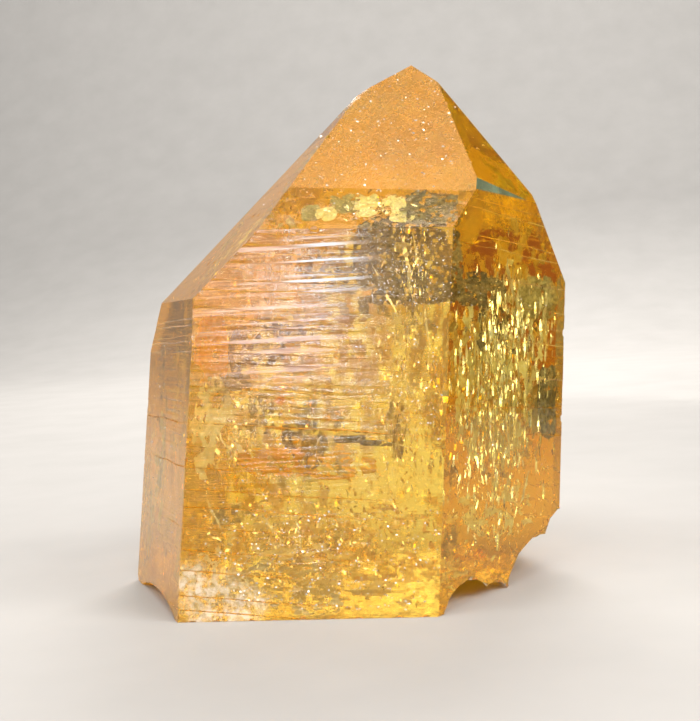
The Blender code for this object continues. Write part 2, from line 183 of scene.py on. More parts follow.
class Nodes:
    """Short way to build a material's node tree."""

    def __init__(self, name):
        self.material = bpy.data.materials.new(name)
        self.material.use_nodes = True
        self.tree = self.material.node_tree
        self.shader = self.tree.nodes["Principled BSDF"]
        self.output = self.tree.nodes["Material Output"]

    def add(self, kind, **settings):
        node = self.tree.nodes.new(kind)
        for key, value in settings.items():
            setattr(node, key, value)
        return node

    def join(self, start, end):
        self.tree.links.new(start, end)

    def place(self, scale=(1.0, 1.0, 1.0), turn=(0.0, 0.0, 0.0)):
        """Object-space coordinates, turned and scaled."""
        where = self.add("ShaderNodeTexCoord")
        mapping = self.add("ShaderNodeMapping")
        mapping.inputs["Scale"].default_value = scale
        mapping.inputs["Rotation"].default_value = turn
        self.join(where.outputs["Object"], mapping.inputs["Vector"])
        return mapping.outputs["Vector"]

    def cloud(self, vector, scale, detail=4.0, roughness=0.55, distortion=0.0):
        made = self.add("ShaderNodeTexNoise")
        self.join(vector, made.inputs["Vector"])
        made.inputs["Scale"].default_value = scale
        made.inputs["Detail"].default_value = detail
        made.inputs["Roughness"].default_value = roughness
        made.inputs["Distortion"].default_value = distortion
        return made.outputs["Fac"]

    def cells(self, vector, scale):
        made = self.add("ShaderNodeTexVoronoi", feature="F1")
        self.join(vector, made.inputs["Vector"])
        made.inputs["Scale"].default_value = scale
        return made.outputs["Distance"]

    def ramp(self, value, stops):
        made = self.add("ShaderNodeValToRGB")
        self.join(value, made.inputs["Fac"])
        ramp = made.color_ramp
        while len(ramp.elements) < len(stops):
            ramp.elements.new(0.5)
        for element, (place, colour) in zip(ramp.elements, stops):
            element.position = place
            element.color = (*colour, 1.0)
        return made.outputs["Color"]

    def levels(self, value, low, high, out_low, out_high):
        made = self.add("ShaderNodeMapRange")
        self.join(value, made.inputs["Value"])
        made.inputs["From Min"].default_value = low
        made.inputs["From Max"].default_value = high
        made.inputs["To Min"].default_value = out_low
        made.inputs["To Max"].default_value = out_high
        return made.outputs["Result"]

    def math(self, kind, first, second):
        made = self.add("ShaderNodeMath", operation=kind)
        for socket, value in zip(made.inputs, (first, second)):
            if isinstance(value, (int, float)):
                socket.default_value = value
            else:
                self.join(value, socket)
        return made.outputs["Value"]

    def near(self, centre, radius):
        """1 at a place on the crystal, fading to 0 at a ragged radius."""
        where = self.add("ShaderNodeTexCoord").outputs["Object"]
        apart = self.add("ShaderNodeVectorMath", operation="DISTANCE")
        self.join(where, apart.inputs[0])
        apart.inputs[1].default_value = centre
        wander = self.cloud(where, 0.6 / radius, 6.0, 0.65)
        reach = self.levels(wander, 0.3, 0.7, radius * (1.0 - MARK_RAGGED), radius * (1.0 + MARK_RAGGED))
        share = self.math("DIVIDE", apart.outputs["Value"], reach)
        return self.levels(share, 1.0, 0.5, 0.0, 1.0)

    def mix(self, share, first, second):
        made = self.add("ShaderNodeMix", data_type="RGBA")
        sockets = [socket for socket in made.inputs if socket.enabled]
        self.join(share, sockets[0])
        for socket, value in zip(sockets[1:], (first, second)):
            if isinstance(value, tuple):
                socket.default_value = (*value, 1.0)
            else:
                self.join(value, socket)
        return [socket for socket in made.outputs if socket.enabled][0]

    def bump(self, height, strength, distance, normal=None):
        made = self.add("ShaderNodeBump")
        made.inputs["Strength"].default_value = strength
        made.inputs["Distance"].default_value = distance
        self.join(height, made.inputs["Height"])
        if normal is not None:
            self.join(normal, made.inputs["Normal"])
        return made.outputs["Normal"]

    def set(self, **values):
        names = {"color": "Base Color", "ior": "IOR", "thin_film_ior": "Thin Film IOR"}
        for key, value in values.items():
            socket = self.shader.inputs[names.get(key, key.replace("_", " ").title())]
            if isinstance(value, bpy.types.NodeSocket):
                self.join(value, socket)
            else:
                socket.default_value = value
        return self


# Tint that light takes on inside the golden body, and how strongly per metre
ABSORPTION_COLOUR = (0.999, 0.972, 0.14, 1.0)
ABSORPTION_DENSITY = 32.0
QUARTZ_IOR = 1.544
AURA_REFLECTION = (1.0, 0.8, 0.62, 1.0)

# Thin coating of the sliver facet
COATING_NM = 390.0
COATING_IOR = 1.9

# Marks on the front face, as seen in the photograph: middle and radius in millimetres
FROST_MARKS = (((212, 604), 4.6), ((250, 606), 2.6), ((192, 578), 2.6))
# Area of painted pale highlights along the growth lines, also tinted pinker
HIGHLIGHT_LINES_MARK = ((262, 285), 15.0)
ORANGE_MARKS = (
    ((212, 352), 3.2),
    ((288, 452), 2.6),
    ((246, 482), 3.4),
    ((262, 232), 2.6),
    ((205, 300), 2.6),
)
RED_MARK = ((280, 400), 0.7)
# Painted blue-white highlight on the growth lines, which also clouds the skin
BLUE_HIGHLIGHT_MARK = ((328, 264), 4.6)


def quartz(name, tint_low, tint_high, roughness_low, roughness_high, clear, bumps, marks=None):
    """See-through golden quartz whose skin differs from face to face."""
    made = Nodes(name)
    where = made.place(scale=IN_MM)
    mottled = made.cloud(where, 0.35, 5.0)
    colour = made.ramp(mottled, ((0.3, tint_low), (0.7, tint_high)))
    rough = made.levels(made.cloud(where, 0.9, 5.0), 0.3, 0.7, roughness_low, roughness_high)
    normal = bumps(made, where)
    if marks is not None:
        colour, clear = marks(made, colour, clear)
    made.set(color=colour, roughness=rough, normal=normal)
    made.set(ior=QUARTZ_IOR, transmission_weight=clear, specular_tint=AURA_REFLECTION)
    absorb = made.add("ShaderNodeVolumeAbsorption")
    absorb.inputs["Color"].default_value = ABSORPTION_COLOUR
    absorb.inputs["Density"].default_value = ABSORPTION_DENSITY
    made.join(absorb.outputs["Volume"], made.output.inputs["Volume"])
    return made.material


def front_marks(find):
    """Painted pale pink and blue-white highlights on the growth lines, orange zones and the frosty corner
    of the front face.
    """

    def union(made, marks):
        share = None
        for place, radius in marks:
            one = made.near(find(*place, 0.0), radius * MM)
            share = one if share is None else made.math("MAXIMUM", share, one)
        return share

    def mark(made, colour, clear):
        turn = (math.radians(LEAN_BACK_DEG), math.radians(-LEAN_RIGHT_DEG), 0.0)
        lines = made.place(scale=(30.0, 30.0, 2100.0), turn=turn)
        crests = made.levels(made.cloud(lines, 1.0, 3.0, 0.6), 0.5, 0.62, 0.0, 1.0)
        # Painted pale highlights: the crests of the growth lines within the lined area
        painted_line_highlights = made.math("MULTIPLY", crests, union(made, (HIGHLIGHT_LINES_MARK,)))
        where = made.place(scale=IN_MM)
        patchy = made.levels(made.cloud(where, 0.9, 7.0, 0.75), 0.4, 0.6, 0.1, 1.0)
        frost = made.math("MULTIPLY", union(made, FROST_MARKS), patchy)
        colour = made.mix(union(made, ORANGE_MARKS), colour, (1.0, 0.56, 0.05))
        colour = made.mix(union(made, (RED_MARK,)), colour, (1.0, 0.2, 0.03))
        # Pinker tint over the lined area, then painted pale pink highlights on the crests
        colour = made.mix(union(made, (HIGHLIGHT_LINES_MARK,)), colour, (1.0, 0.60, 0.34))
        colour = made.mix(painted_line_highlights, colour, (1.0, 0.70, 0.60))
        colour = made.mix(frost, colour, (1.0, 0.88, 0.72))
        # Painted blue-white highlight along the line crests
        painted_blue_highlight = made.math("MULTIPLY", crests, union(made, (BLUE_HIGHLIGHT_MARK,)))
        colour = made.mix(painted_blue_highlight, colour, (0.78, 0.86, 1.0))
        # pale: the share of painted highlights, which make the skin less clear, as the frost also does
        pale = made.math("ADD", made.math("MULTIPLY", painted_line_highlights, 0.4), made.math("MULTIPLY", painted_blue_highlight, 0.3))
        frost_and_highlight_haze = made.math("ADD", pale, made.math("MULTIPLY", frost, 0.55))
        return colour, made.math("SUBTRACT", clear, frost_and_highlight_haze)

    return mark


def coated(made, colour, clear):
    """Thin coating colours, green to rose, as on the small facet beside the tip."""
    made.set(thin_film_thickness=COATING_NM, thin_film_ior=COATING_IOR)
    return colour, clear


def sugary(made, where):
    pits = made.cells(where, 3.2)
    grain = made.cloud(where, 6.0, 6.0, 0.7)
    first = made.bump(pits, 0.22, 0.00012)
    return made.bump(grain, 0.25, 0.00008, first)


def smooth(made, where):
    wave = made.cloud(where, 0.5, 3.0)
    grain = made.cloud(where, 5.0, 4.0)
    first = made.bump(wave, 0.25, 0.0002)
    return made.bump(grain, 0.06, 0.00004, first)


def striped(made, where):
    """Level growth lines, finer than the ledges of the mesh."""
    turn = (math.radians(LEAN_BACK_DEG), math.radians(-LEAN_RIGHT_DEG), 0.0)
    lines = made.place(scale=(60.0, 60.0, 3000.0), turn=turn)
    fine = made.cloud(lines, 1.0, 3.0, 0.6)
    grain = made.cloud(where, 5.0, 5.0, 0.6)
    first = made.bump(fine, 0.5, 0.00008)
    return made.bump(grain, 0.12, 0.00005, first)


def broken(made, where):
    shell = made.cloud(where, 0.7, 6.0, 0.65, 0.6)
    grain = made.cells(where, 2.2)
    first = made.bump(shell, 0.8, 0.0006)
    return made.bump(grain, 0.4, 0.0002, first)


def body_materials(find):
    """One skin for each kind of face, in the order that face_kind returns."""
    front = front_marks(find)
    return [
        quartz("aura_sugary_tip", (1.0, 0.59, 0.12), (1.0, 0.69, 0.2), 0.14, 0.34, 0.84, sugary),
        quartz("aura_smooth_tip", (1.0, 0.71, 0.03), (1.0, 0.78, 0.07), 0.01, 0.05, 0.98, smooth),
        quartz("aura_front", (1.0, 0.66, 0.18), (1.0, 0.76, 0.3), 0.05, 0.15, 0.93, striped, front),
        quartz("aura_right_prism", (1.0, 0.81, 0.24), (1.0, 0.89, 0.38), 0.02, 0.08, 0.98, smooth),
        quartz("aura_broken_foot", (1.0, 0.66, 0.16), (1.0, 0.74, 0.26), 0.12, 0.35, 0.85, broken),
        quartz("aura_clear_band", (1.0, 0.84, 0.34), (1.0, 0.92, 0.5), 0.03, 0.1, 0.97, smooth),
        quartz("aura_side_prism", (1.0, 0.66, 0.06), (1.0, 0.76, 0.14), 0.06, 0.2, 0.92, striped),
        quartz("aura_sliver", (0.05, 0.09, 0.06), (0.2, 0.36, 0.26), 0.08, 0.2, 0.45, sugary, coated),
    ]


TIP_SUGARY, TIP_SMOOTH, PRISM_STRIPED, PRISM_SMOOTH, FOOT, TIP_BAND, PRISM_SIDE, SLIVER = range(8)


# Slopes of the kinds of face, as the share of the normal along the crystal, and the
# heights above the floor that tell them from the broken foot
PRISM_SLOPE = 0.12
TIP_SLOPES = (0.3, 0.85)
SLIVER_SLOPES = (0.3, 0.5)
TIP_FROM = 0.025
SLIVER_FROM = 0.035
UPPER_FROM = 0.02


def face_kind(normal, centre):
    """Which skin a face takes, from its direction in the crystal's own axes."""
    own = AXES.transposed() @ normal
    turn = math.degrees(math.atan2(own.x, -own.y)) % 360.0
    if abs(own.z) < PRISM_SLOPE:
        if 30.0 < turn < 90.0:
            return PRISM_SMOOTH
        if 200.0 < turn < 330.0:
            return PRISM_SIDE
        return PRISM_STRIPED
    if SLIVER_SLOPES[0] < own.z < SLIVER_SLOPES[1] and 50.0 < turn < 70.0 and centre.z > SLIVER_FROM:
        return SLIVER
    if TIP_SLOPES[0] < own.z < TIP_SLOPES[1] and centre.z > TIP_FROM:
        if turn < 30.0 or turn > 330.0:
            if own_place(centre).z < BAND_TOP and own_place(centre).x > BAND_LEFT:
                return TIP_BAND
            return TIP_SUGARY
        return TIP_SMOOTH
    if centre.z > UPPER_FROM:
        return PRISM_STRIPED
    return FOOT


def slice_mesh(mesh, direction, first, last, spacing):
    """Cuts a mesh by evenly spaced planes without taking anything away."""
    place = first
    while place < last:
        bmesh.ops.bisect_plane(
            mesh,
            geom=mesh.verts[:] + mesh.edges[:] + mesh.faces[:],
            dist=1e-8,
            plane_co=direction * place,
            plane_no=direction,
        )
        place += spacing


def own_place(point):
    """A point in the crystal's own axes, measured from its foot centre."""
    return AXES.transposed() @ (point - AXIS_FOOT)


def line_strength(side, across, height):
    """How deep the fine growth lines are at a place on a side."""
    patch = noise.noise(Vector((across * 90.0, height * 55.0, side * 7.3)))
    reach = 0.5 + 1.6 * patch
    if side == 0:
        fade = 1.0 - min(max((across + 0.002) / 0.012, 0.0), 1.0)
        low = min(max((height + 0.004) / 0.006, 0.0), 1.0)
        return max(0.0, min(1.0, (reach + 0.55) * fade)) * (0.12 + 0.88 * low)
    if side == 1:
        return RIGHT_STRENGTH * max(0.0, min(1.0, reach))
    return SIDE_STRENGTH * max(0.0, min(1.0, reach))


def carve_fine_lines(mesh):
    """Sinks each level band of the prism a little, by a different amount."""
    rng = random.Random(SEED)
    depths = [rng.random() for _ in range(FINE_BANDS)]
    for vertex in mesh.verts:
        normals = [face.normal for face in vertex.link_faces]
        own = [AXES.transposed() @ normal for normal in normals]
        if not own or max(abs(normal.z) for normal in own) > FINE_STEEPEST:
            continue
        place = own_place(vertex.co)
        if not FINE_REACH[0] < place.z < FINE_REACH[1]:
            continue
        mean = Vector((0.0, 0.0, 0.0))
        for normal in own:
            mean += normal
        turn = math.degrees(math.atan2(mean.x, -mean.y)) % 360.0
        side = int((turn + 30.0) // 60.0) % 6
        along = Vector((math.cos(math.radians(60 * side)), math.sin(math.radians(60 * side)), 0.0))
        strength = line_strength(side, along.dot(place), place.z)
        band = int(round((place.z + 0.02) / FINE_SPACING))
        mean.z = 0.0
        inward = AXES @ mean.normalized()
        vertex.co -= inward * FINE_DEPTH * strength * depths[band]


def split_broken_faces(mesh):
    """Gives the broken faces small triangles, so that they can be roughened."""
    for _ in range(BREAK_SPLITS):
        long_edges = set()
        for face in mesh.faces:
            if is_broken(face):
                long_edges.update(edge for edge in face.edges if edge.calc_length() > BREAK_MESH_EDGE)
        if not long_edges:
            return
        bmesh.ops.subdivide_edges(mesh, edges=list(long_edges), cuts=1)
        bmesh.ops.triangulate(mesh, faces=[face for face in mesh.faces if len(face.verts) > 3])


def is_broken(face):
    centre = face.calc_center_median()
    return face_kind(face.normal, centre) == FOOT and face.normal.z > -0.99


def roughen_breaks(mesh):
    """Sinks the broken faces by stepped noise, as in glassy fracture."""
    moves = []
    for vertex in mesh.verts:
        broken = [face.normal for face in vertex.link_faces if is_broken(face)]
        if len(broken) < len(vertex.link_faces) or vertex.co.z < BREAK_KEEP_BELOW:
            continue
        mean = Vector((0.0, 0.0, 0.0))
        for normal in broken:
            mean += normal
        coarse = noise.noise(vertex.co * BREAK_COARSE)
        ridges = 1.0 - abs(noise.noise(vertex.co * BREAK_RIDGES + Vector((7.0, 3.0, 1.0))))
        grain = noise.noise(vertex.co * BREAK_GRAIN)
        sink = max(0.0, 0.35 + 0.7 * coarse + 0.35 * (ridges - 0.8) + 0.16 * grain)
        moves.append((vertex, mean.normalized() * BREAK_DEPTH * sink))
    for vertex, move in moves:
        vertex.co -= move


def crystal_body(find):
    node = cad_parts["crystal"]
    mesh = bmesh.new()
    mesh.from_mesh(node.data)
    bmesh.ops.remove_doubles(mesh, verts=mesh.verts, dist=1e-8)
    flat = math.radians(0.05)
    bmesh.ops.dissolve_limit(mesh, angle_limit=flat, verts=mesh.verts, edges=mesh.edges)
    bmesh.ops.triangulate(mesh, faces=mesh.faces)
    slice_mesh(mesh, LONG_AXIS, FINE_FROM, FINE_TO, FINE_SPACING)
    for turn_deg in (0.0, 60.0, 120.0):
        turn = math.radians(turn_deg)
        across = AXES @ Vector((math.cos(turn), math.sin(turn), 0.0))
        slice_mesh(mesh, across, -COLUMN_LIMIT, COLUMN_LIMIT, COLUMN_SPACING)
    bmesh.ops.triangulate(mesh, faces=[face for face in mesh.faces if len(face.verts) > 3])
    split_broken_faces(mesh)
    for face in mesh.faces:
        face.material_index = face_kind(face.normal, face.calc_center_median())
        face.smooth = False
    roughen_breaks(mesh)
    carve_fine_lines(mesh)
    data = bpy.data.meshes.new("quartz_body")
    mesh.to_mesh(data)
    mesh.free()
    body = link(bpy.data.objects.new("quartz_body", data))
    for material in body_materials(find):
        data.materials.append(material)
    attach(body, "root")
    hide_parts("crystal")
    print("quartz_body triangles", len(data.polygons))
    return body


def bend_in(direction, normal):
    """Direction inside the quartz of light that comes in along a direction."""
    cosine = -normal.dot(direction)
    ratio = 1.0 / QUARTZ_IOR
    bend = math.sqrt(1.0 - ratio * ratio * (1.0 - cosine * cosine))
    return (direction * ratio + normal * (ratio * cosine - bend)).normalized()


def light_place(place):
    """Point of the frame at an azimuth, elevation and distance from the crystal's middle."""
    azimuth, elevation, distance = math.radians(place[0]), math.radians(place[1]), place[2]
    return MIDDLE + distance * Vector((
        math.sin(azimuth) * math.cos(elevation),
        -math.cos(azimuth) * math.cos(elevation),
        math.sin(elevation),
    ))


def depth_finder():
    """Functions that give points and flake directions inside from places in the photograph."""
    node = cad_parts["crystal"]
    tree = BVHTree.FromPolygons(
        [vertex.co.copy() for vertex in node.data.vertices],
        [tuple(face.vertices) for face in node.data.polygons],
    )

    def find(across, down, depth):
        ray = photo_ray(across, down)
        hit, normal, _, _ = tree.ray_cast(CAMERA_PLACE, ray)
        if hit is None:
            return None
        normal = normal if normal.dot(ray) < 0.0 else -normal
        point = hit + bend_in(ray, normal) * depth
        if depth < SKIN_DEPTH:
            return point
        near, toward, _, distance = tree.find_nearest(point)
        if distance < SKIN_GAP or (point - near).dot(toward) > 0.0:
            return None
        return point

    def inside_by(point, gap):
        near, toward, _, distance = tree.find_nearest(point)
        return distance > gap and (point - near).dot(toward) < 0.0

    def mirror_way(across, down, lamp):
        """Direction that a flake must face to throw a light at the camera."""
        ray = photo_ray(across, down)
        hit, normal, _, _ = tree.ray_cast(CAMERA_PLACE, ray)
        if hit is None:
            return None
        normal = normal if normal.dot(ray) < 0.0 else -normal
        toward = (hit - light_place(lamp)).normalized()
        if normal.dot(toward) > -0.1:
            return None
        return -(bend_in(ray, normal) + bend_in(toward, normal)).normalized()

    return find, inside_by, mirror_way


LEAF_STEPS = 3


def leaf(mesh, centre, along, across, length, width, curl, material_index):
    """Small curved flake with narrow ends."""
    normal = along.cross(across).normalized()
    steps = LEAF_STEPS
    lefts = []
    rights = []
    for step in range(steps + 1):
        share = step / steps
        bulge = math.sin(math.pi * (0.12 + 0.76 * share))
        middle = centre + along * length * (share - 0.5)
        middle += normal * curl * length * math.sin(math.pi * share)
        lefts.append(mesh.verts.new(middle - across * width * bulge * 0.5))
        rights.append(mesh.verts.new(middle + across * width * bulge * 0.5))
    for step in range(steps):
        face = mesh.faces.new((lefts[step], rights[step], rights[step + 1], lefts[step + 1]))
        face.material_index = material_index


# Clouds of flakes inside the crystal, as seen in the photograph: middle, half size,
# depth range in millimetres, count, length range in millimetres, upright share, tone
FLAKE_CLOUDS = (
    ((315, 555), (120, 55), (1.5, 12.0), 1500, (0.15, 0.9), 0.2, "gold"),
    ((390, 520), (50, 90), (1.5, 10.0), 400, (0.15, 0.8), 0.5, "gold"),
    ((250, 460), (38, 45), (2.0, 9.0), 260, (0.3, 1.4), 0.6, "bright"),
    ((225, 420), (35, 45), (2.0, 9.0), 160, (0.2, 1.0), 0.4, "gold"),
    ((320, 400), (95, 80), (3.0, 14.0), 520, (0.2, 1.1), 0.2, "gold"),
    ((412, 268), (20, 44), (0.6, 1.9), 150, (0.25, 1.0), 0.9, "bright"),
    ((410, 320), (26, 60), (1.0, 8.0), 240, (0.25, 1.2), 0.9, "bright"),
    ((420, 400), (24, 80), (1.5, 9.0), 260, (0.2, 0.9), 0.6, "gold"),
    ((500, 400), (46, 96), (0.8, 8.0), 1100, (0.4, 2.2), 0.92, "gold"),
    ((500, 380), (44, 84), (0.5, 4.0), 480, (0.4, 2.0), 0.95, "pale"),
    ((512, 300), (14, 42), (0.6, 3.0), 90, (0.5, 2.2), 1.0, "pale"),
    ((548, 320), (10, 26), (0.6, 3.0), 50, (0.5, 2.0), 0.9, "pale"),
    ((400, 400), (40, 110), (0.6, 4.0), 260, (0.2, 1.0), 0.7, "pale"),
    ((300, 560), (110, 50), (0.5, 4.0), 420, (0.15, 0.8), 0.3, "pale"),
    ((505, 520), (50, 50), (1.5, 9.0), 420, (0.2, 1.0), 0.5, "gold"),
    ((375, 208), (62, 13), (1.0, 5.0), 260, (0.3, 1.1), 0.1, "bright"),
    ((160, 480), (14, 80), (1.0, 6.0), 220, (0.15, 0.8), 0.6, "gold"),
    ((158, 450), (14, 90), (0.5, 3.0), 200, (0.2, 1.0), 0.9, "pale"),
    ((500, 400), (46, 96), (0.5, 3.0), 340, (0.4, 2.0), 0.92, "bright"),
    ((300, 540), (120, 60), (0.5, 3.0), 360, (0.12, 0.6), 0.3, "bright"),
    ((215, 590), (42, 30), (0.6, 3.5), 700, (0.12, 0.5), 0.3, "white"),
    ((285, 600), (60, 16), (0.8, 5.0), 320, (0.12, 0.5), 0.3, "white"),
)

# Clouds of flakes that face a light, so that they glint: middle, half size, depth range
# in millimetres, count, length range in millimetres, upright share, light
FACING_CLOUDS = (
    ((500, 370), (44, 90), (0.5, 4.0), 420, (0.3, 2.0), 0.9, "high_right"),
    ((515, 320), (32, 42), (0.5, 2.0), 90, (0.5, 2.4), 0.95, "high_right"),
    ((490, 480), (50, 60), (0.5, 4.0), 160, (0.2, 1.4), 0.7, "high_right"),
    ((400, 380), (34, 110), (0.4, 3.0), 150, (0.2, 0.9), 0.6, "front_fill"),
    ((300, 540), (120, 60), (0.4, 3.0), 420, (0.1, 0.6), 0.3, "front_fill"),
    ((240, 440), (36, 50), (0.6, 4.0), 90, (0.2, 1.2), 0.5, "front_fill"),
    ((412, 268), (20, 44), (0.6, 1.9), 70, (0.2, 0.9), 0.9, "front_fill"),
    ((372, 209), (40, 9), (0.4, 1.2), 40, (0.3, 1.0), 0.1, "overhead"),
)
FACING_SPREAD = 0.13

# A found point keeps this far from the surface, unless its depth is under the second value
SKIN_GAP = 0.35 * MM
SKIN_DEPTH = 0.2 * MM

# Flakes all round: count, height, distance from the skin, lengths and patchiness
SPREAD_FLAKES = 2600
SPREAD_TOP = 0.036
SPREAD_GAP = 0.5 * MM
SPREAD_LENGTHS = (0.15, 0.9)
PATCH_SCALE = 160.0
PATCH_FROM = -0.05


def add_flakes(find, inside_by, mirror_way):
    """Flakes in the seen clouds, some facing a light, and more all round for the other sides."""
    rng = random.Random(SEED + 1)
    tones = ("gold", "bright", "white", "pale", "facing")
    mesh = bmesh.new()

    def one(point, length, upright, tone):
        along = Vector([rng.gauss(0.0, 1.0) for _ in range(3)]).normalized()
        along = (along * (1.0 - upright) + LONG_AXIS * upright * rng.choice((-1, 1)) * 1.2).normalized()
        side = Vector([rng.gauss(0.0, 1.0) for _ in range(3)])
        across = along.cross(side).normalized()
        width = length * rng.uniform(0.16, 0.6 - 0.35 * upright)
        leaf(mesh, point, along, across, length, width, rng.uniform(-0.2, 0.2), tones.index(tone))

    for middle, half, depths, count, lengths, upright, tone in FLAKE_CLOUDS:
        for _ in range(count):
            across = middle[0] + half[0] * rng.gauss(0.0, 0.5)
            down = middle[1] + half[1] * rng.gauss(0.0, 0.5)
            point = find(across, down, rng.uniform(*depths) * MM)
            if point is None:
                continue
            length = lengths[0] + (lengths[1] - lengths[0]) * rng.random() ** 2.5
            one(point, length * MM, upright, tone)
    for middle, half, depths, count, lengths, upright, lamp in FACING_CLOUDS:
        for _ in range(count):
            across = middle[0] + half[0] * rng.gauss(0.0, 0.5)
            down = middle[1] + half[1] * rng.gauss(0.0, 0.5)
            point = find(across, down, rng.uniform(*depths) * MM)
            facing = mirror_way(across, down, LIGHTS[lamp][0])
            if point is None or facing is None:
                continue
            facing += Vector([rng.gauss(0.0, FACING_SPREAD) for _ in range(3)])
            loose = Vector([rng.gauss(0.0, 1.0) for _ in range(3)]).normalized()
            along = loose * (1.0 - upright) + LONG_AXIS * upright * 1.2
            along = (along - facing * along.dot(facing) / facing.length_squared).normalized()
            side = facing.cross(along).normalized()
            length = (lengths[0] + (lengths[1] - lengths[0]) * rng.random() ** 2.5) * MM
            width = length * rng.uniform(0.16, 0.6 - 0.35 * upright)
            leaf(mesh, point, along, side, length, width, rng.uniform(-0.1, 0.1), tones.index("facing"))
    low, high = [Vector(corner) for corner in CAD_BOX]
    placed = 0
    while placed < SPREAD_FLAKES:
        point = Vector([rng.uniform(low[axis], high[axis]) for axis in range(3)])
        if point.z > SPREAD_TOP * rng.random() ** 0.6 or not inside_by(point, SPREAD_GAP):
            continue
        if noise.noise(point * PATCH_SCALE) < PATCH_FROM:
            continue
        one(point, rng.uniform(*SPREAD_LENGTHS) * MM, 0.4, "gold")
        placed += 1
    data = bpy.data.meshes.new("inner_flakes")
    mesh.to_mesh(data)
    mesh.free()
    flakes = link(bpy.data.objects.new("inner_flakes", data))
    data.materials.append(flake_material("gold_flakes", (1.0, 0.88, 0.50), (1.0, 0.96, 0.72)))
    data.materials.append(flake_material("bright_flakes", (1.0, 0.96, 0.7), (1.0, 1.0, 0.88)))
    data.materials.append(flake_material("white_flakes", (1.0, 0.93, 0.85), (1.0, 1.0, 0.97), 0.2))
    data.materials.append(flake_material("pale_flakes", (1.0, 0.92, 0.66), (1.0, 0.99, 0.86), 0.3))
    data.materials.append(flake_material("facing_flakes", (1.0, 0.91, 0.72), (1.0, 0.98, 0.92), 0.9, 0.45))
    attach(flakes, "root")
    print("inner_flakes faces", len(data.polygons))


# Painted glints: small white flakes in the skin, bright under the lamps, as seen in the
# photograph: middle, half size, count and largest size in millimetres
GLINTS = (
    ((385, 130), (70, 66), 260, 0.34),
    ((330, 180), (70, 34), 90, 0.26),
    ((404, 262), (50, 44), 520, 0.17),
    ((400, 350), (44, 90), 380, 0.22),
    ((330, 560), (110, 50), 560, 0.3),
    ((250, 500), (60, 60), 120, 0.24),
    ((500, 380), (46, 100), 90, 0.2),
    ((158, 450), (18, 110), 170, 0.22),
)
GLINT_SMALLEST = 0.06
GLINT_LIFT = 0.02 * MM


def add_glints(find):
    rng = random.Random(SEED + 4)
    mesh = bmesh.new()
    for middle, half, count, largest in GLINTS:
        for _ in range(count):
            across = middle[0] + half[0] * rng.uniform(-1.0, 1.0)
            down = middle[1] + half[1] * rng.uniform(-1.0, 1.0)
            place = find(across, down, 0.0)
            if place is None:
                continue
            tilt = Euler([rng.gauss(0.0, 0.5) for _ in range(3)]).to_matrix()
            along = tilt @ RIGHT
            side = tilt @ UP
            size = (GLINT_SMALLEST + (largest - GLINT_SMALLEST) * rng.random() ** 3) * MM
            width = size * rng.uniform(0.3, 0.9)
            leaf(mesh, place + BACK * GLINT_LIFT, along, side, size, width, 0.1, 0)
    data = bpy.data.meshes.new("skin_glints")
    mesh.to_mesh(data)
    mesh.free()
    glints = link(bpy.data.objects.new("skin_glints", data))
    # White, mostly diffuse skin, so that these flakes show as painted glints from any side
    data.materials.append(flake_material("skin_glints", (1.0, 0.95, 0.86), (1.0, 1.0, 0.98), 0.25))
    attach(glints, "root")
    print("skin_glints faces", len(data.polygons))


def flake_material(name, low, high, metallic=1.0, roughest=0.3):
    made = Nodes(name)
    where = made.place(scale=IN_MM)
    tone = made.cloud(where, 0.8, 3.0)
    made.set(color=made.ramp(tone, ((0.35, low), (0.65, high))))
    rough = made.levels(made.cloud(where, 3.0), 0.3, 0.7, 0.08, roughest)
    made.set(roughness=rough, metallic=metallic)
    return made.material
